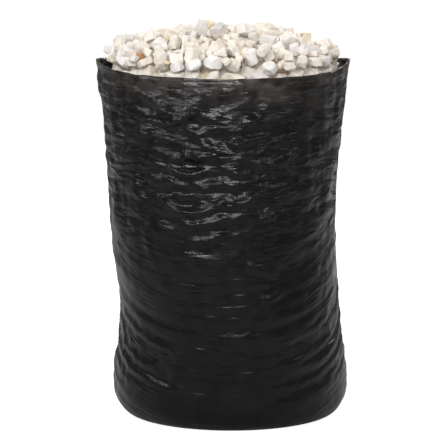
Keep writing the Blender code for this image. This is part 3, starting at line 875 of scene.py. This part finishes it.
bit_chance = random.Random(SEED + 9)
bit_places = [(x, y, LARGE_BIT_SIZE, 0.0) for x, y in LARGE_BITS]
bit_places += [(x, y, BIT_SIZE, BIT_NEAR) for x, y in spread_places(BITS, bit_chance)]
for number in range(RIM_BITS):
    shifted = number + bit_chance.uniform(-RIM_BIT_SHIFT, RIM_BIT_SHIFT)
    angle = 2.0 * math.pi * shifted / RIM_BITS
    x = lean_at(RIM_HEIGHT) + (half_width(RIM_HEIGHT) - RIM_BIT_INSET) * math.sin(angle)
    y = -(half_depth(RIM_HEIGHT) - RIM_BIT_INSET) * math.cos(angle)
    bit_places.append((x, y, RIM_BIT_SIZE, BIT_NEAR))
bit_places += [(x, y, CRUMB_SIZE, BIT_NEAR) for x, y in spread_places(CRUMBS, bit_chance)]
bits = {"front": [], "back": []}
for number, (x, y, size, search) in enumerate(bit_places):
    sizes = [size * bit_chance.uniform(*BIT_SPREAD) for _ in range(3)]
    bm = foam_chunk(sizes, bit_chance.choice(("block", "wedge", "crumb")), bit_chance)
    reach = max(vert.co.length for vert in bm.verts)
    seats = []
    for _ in range(BIT_TRIES):
        near = [bit_chance.uniform(-search, search) for _ in range(2)]
        place = moved_inside(x + near[0], y + near[1], reach + FILM_CLEARANCE)
        seats.append((drop(bm, *place), place))
    height, place = min(seats)
    if height > heap_height(*place) + RIM_BIT_ABOVE * mouth_share(*place):
        bm.free()
        continue
    bmesh.ops.translate(bm, vec=(*place, height - BIT_SINK), verts=bm.verts)
    supports.append(BVHTree.FromBMesh(bm))
    part = "front" if place[1] < 0.0 else "back"
    bits[part].append(worn_mesh(bm, "bit", BIT_CELL, BIT_WEAR, number))
for part, meshes in bits.items():
    joined_piece("small_bits_" + part, meshes, mixed_foam)

# The studio isn't part of the object: a pale floor and backdrop, long low soft boxes in front and
# behind that draw the highlights on the film, one soft light above, and the photo's camera.
FLOOR_HALF_SIZE = 30.0
FLOOR_GLOW = 0.87
BOX_HEIGHT = 1.85
BOX_AIM = (0, 0, 0.5)
COOL_LIGHT = (0.92, 0.96, 1.0)
WARM_LIGHT = (1.0, 0.96, 0.91)
SURROUND_LIGHT = 0.29
scene.view_settings.view_transform = "Standard"
bm = bmesh.new()
bmesh.ops.create_grid(bm, x_segments=1, y_segments=1, size=FLOOR_HALF_SIZE)
floor_mesh = bpy.data.meshes.new("floor")
bm.to_mesh(floor_mesh)
bm.free()
floor = bpy.data.objects.new("floor", floor_mesh)
bpy.context.collection.objects.link(floor)
pale = Nodes("pale_floor")
pale.shader.inputs["Base Color"].default_value = (0.50, 0.50, 0.50, 1.0)
pale.shader.inputs["Roughness"].default_value = 0.9
pale.shader.inputs["Specular IOR Level"].default_value = 0.1
pale.shader.inputs["Emission Color"].default_value = (1.0, 1.0, 1.0, 1.0)
camera_ray = pale.add("ShaderNodeLightPath").outputs["Is Camera Ray"]
pale.link(pale.math("MULTIPLY", camera_ray, FLOOR_GLOW), pale.shader.inputs["Emission Strength"])
floor_mesh.materials.append(pale.material)
floor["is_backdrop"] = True


def softbox(name, place, aim, size, power, colour):
    """A soft rectangular light that shines at a point."""
    data = bpy.data.lights.new(name, "AREA")
    data.shape = "RECTANGLE"
    data.size, data.size_y = size
    data.energy = power
    data.color = colour
    lamp = bpy.data.objects.new(name, data)
    bpy.context.collection.objects.link(lamp)
    lamp.location = place
    lamp.rotation_mode = "QUATERNION"
    lamp.rotation_quaternion = (Vector(aim) - Vector(place)).to_track_quat("-Z", "Y")


for side in (-1.0, 1.0):
    name = "back" if side > 0.0 else "front"
    softbox(name, (side * 0.3, side * 2.5, BOX_HEIGHT), BOX_AIM, (2.4, 0.22), 60.0, COOL_LIGHT)
    for turn, power in ((-1.0, 20.0), (1.0, 8.0)):
        corner = (-side * turn * 2.25, side * 1.4, BOX_HEIGHT)
        softbox(name + "_corner", corner, BOX_AIM, (1.6, 0.22), power, COOL_LIGHT)
softbox("top", (-0.2, 0.1, 3.2), (0, 0, 0.7), (1.2, 1.2), 12.0, WARM_LIGHT)
world = bpy.data.worlds.new("studio")
scene.world = world
world.use_nodes = True
tree = world.node_tree
surround = tree.nodes["Background"]
surround.inputs["Color"].default_value = (1.0, 0.98, 0.95, 1.0)
surround.inputs["Strength"].default_value = SURROUND_LIGHT
backdrop = tree.nodes.new("ShaderNodeBackground")
backdrop.inputs["Strength"].default_value = 1.0
seen = tree.nodes.new("ShaderNodeMixShader")
tree.links.new(tree.nodes.new("ShaderNodeLightPath").outputs["Is Camera Ray"], seen.inputs["Fac"])
tree.links.new(surround.outputs[0], seen.inputs[1])
tree.links.new(backdrop.outputs[0], seen.inputs[2])
tree.links.new(seen.outputs[0], tree.nodes["World Output"].inputs["Surface"])

ELEVATION = 10.66
METRES_PER_PIXEL = 0.0021
PICTURE = 448
CAMERA_AWAY = 8.0
AIM = Vector((-0.0147, 0.0, 0.400))
camera_data = bpy.data.cameras.new("photo_view")
camera_data.sensor_width = 36.0
camera_data.lens = camera_data.sensor_width * CAMERA_AWAY / (PICTURE * METRES_PER_PIXEL)
camera = bpy.data.objects.new("photo_view", camera_data)
bpy.context.collection.objects.link(camera)
lift_angle = math.radians(ELEVATION)
backward = Vector((0.0, -math.cos(lift_angle), math.sin(lift_angle)))
camera.location = AIM + backward * CAMERA_AWAY
camera.rotation_mode = "QUATERNION"
camera.rotation_quaternion = (-backward).to_track_quat("-Z", "Y")
scene.camera = camera

visual_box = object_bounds()
sizes = {"cad": [list(corner) for corner in cad_box], "visual": [list(corner) for corner in visual_box]}
